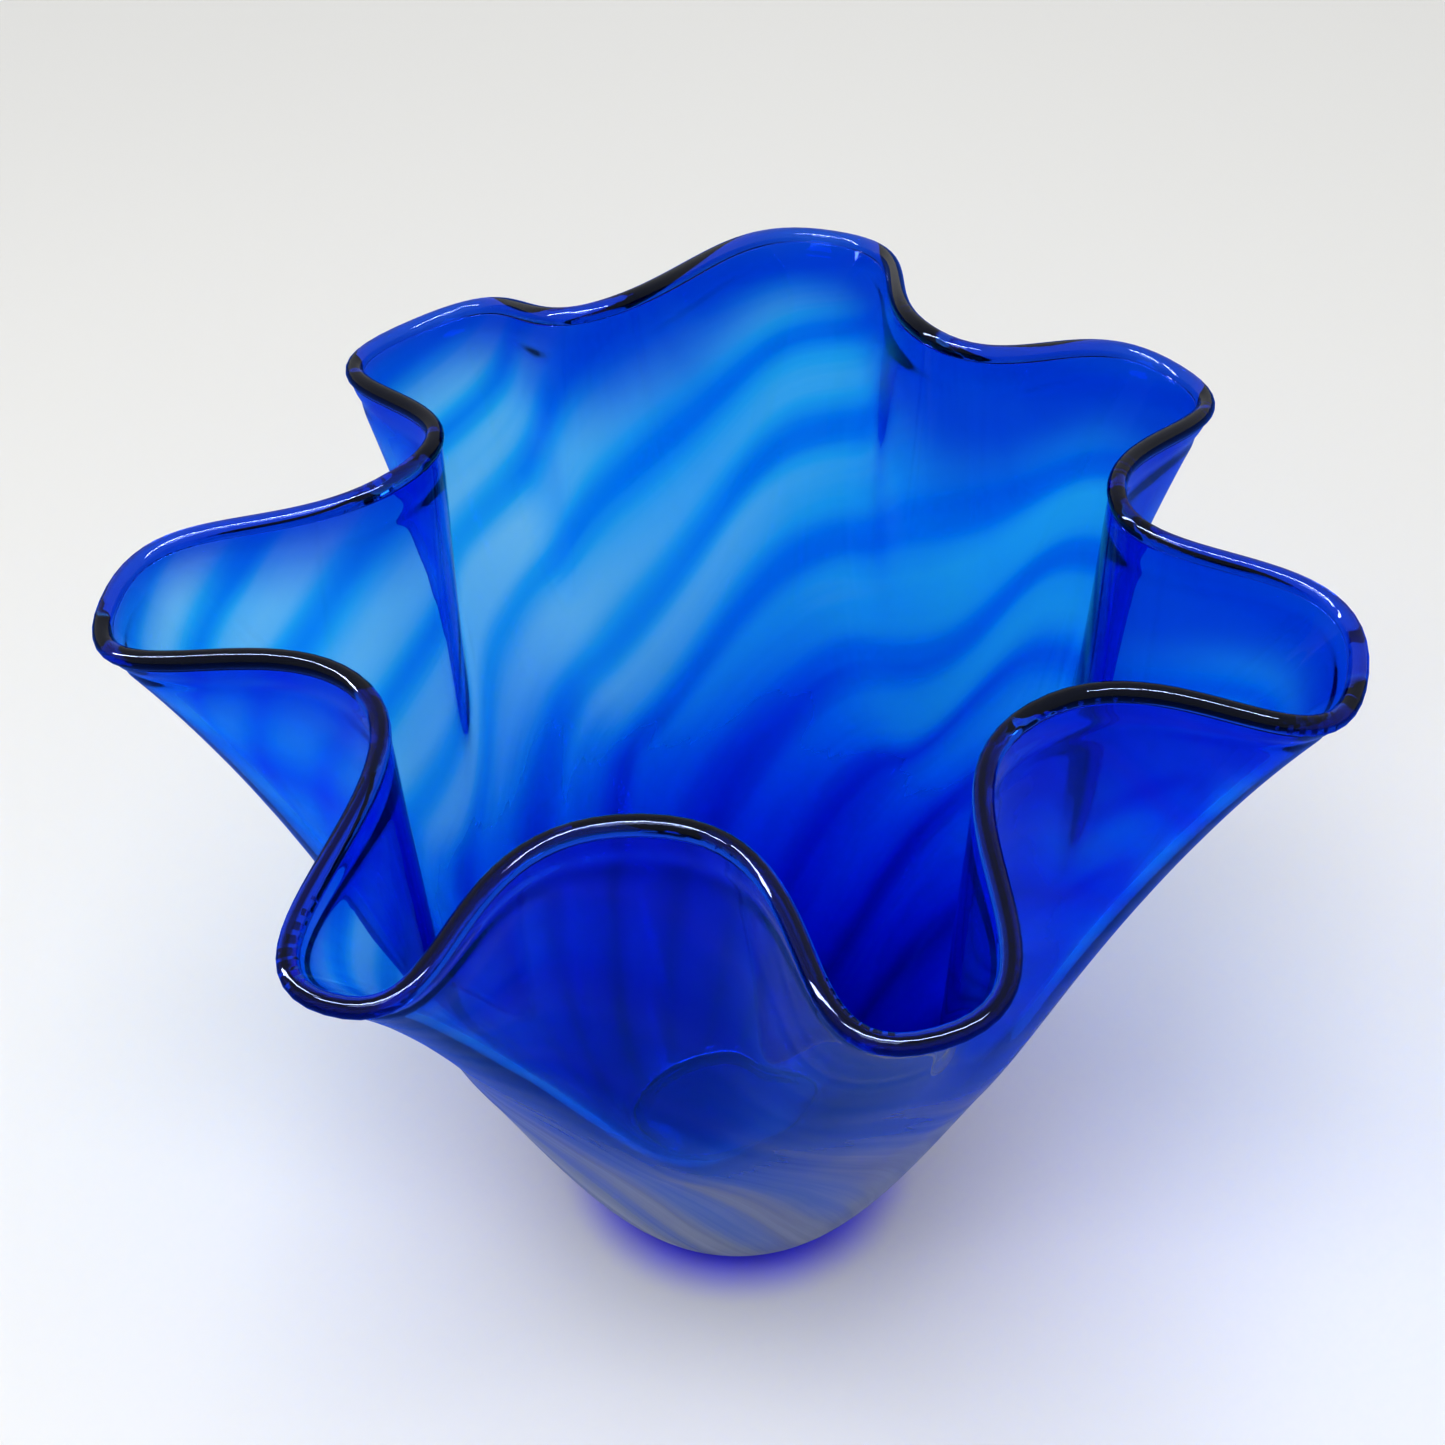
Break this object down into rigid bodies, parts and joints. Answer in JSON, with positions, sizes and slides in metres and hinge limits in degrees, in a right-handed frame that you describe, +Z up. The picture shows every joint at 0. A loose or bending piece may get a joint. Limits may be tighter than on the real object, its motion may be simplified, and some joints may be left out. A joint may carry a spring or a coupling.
{
  "type": "art glass bowl",
  "caption": "Ruffled blown-glass bowl with a deep flaring cup, wavy lobed lip with a rounded dark bead, slow inner swirl trails and a flat ground foot.",
  "frame": {"origin": "middle of the flat underside of the foot, on the table", "axes": "+Z up along the axis of the cup; -Y towards the viewer, between a wide lobe on the left and a narrower one on the right"},
  "size_m": [0.2542, 0.2582, 0.2055],
  "materials": {
    "foot_glass": "thick deep cobalt glass, ground flat underneath",
    "gather_glass": "clear cobalt glass, fire-polished inside",
    "casing_glass": "thin paler blue casing with a faint grey and lavender lustre low on the outside",
    "lip_glass": "fire-polished bead, near-black navy where the colour gathers",
    "trail_glass": "darker cobalt trails laid between gather and casing"
  },
  "bodies": {
    "root": {"foot_pad": "foot_glass", "gather_wall": "gather_glass", "casing_wall": "casing_glass", "lip_bead": "lip_glass", "swirl_trail_01": "trail_glass", "swirl_trail_02": "trail_glass", "swirl_trail_03": "trail_glass", "swirl_trail_04": "trail_glass", "swirl_trail_05": "trail_glass", "swirl_trail_06": "trail_glass", "swirl_trail_07": "trail_glass", "swirl_trail_08": "trail_glass", "swirl_trail_09": "trail_glass", "swirl_trail_10": "trail_glass", "swirl_trail_11": "trail_glass", "swirl_trail_12": "trail_glass", "swirl_trail_13": "trail_glass", "swirl_trail_14": "trail_glass"}
  },
  "joints": []
}
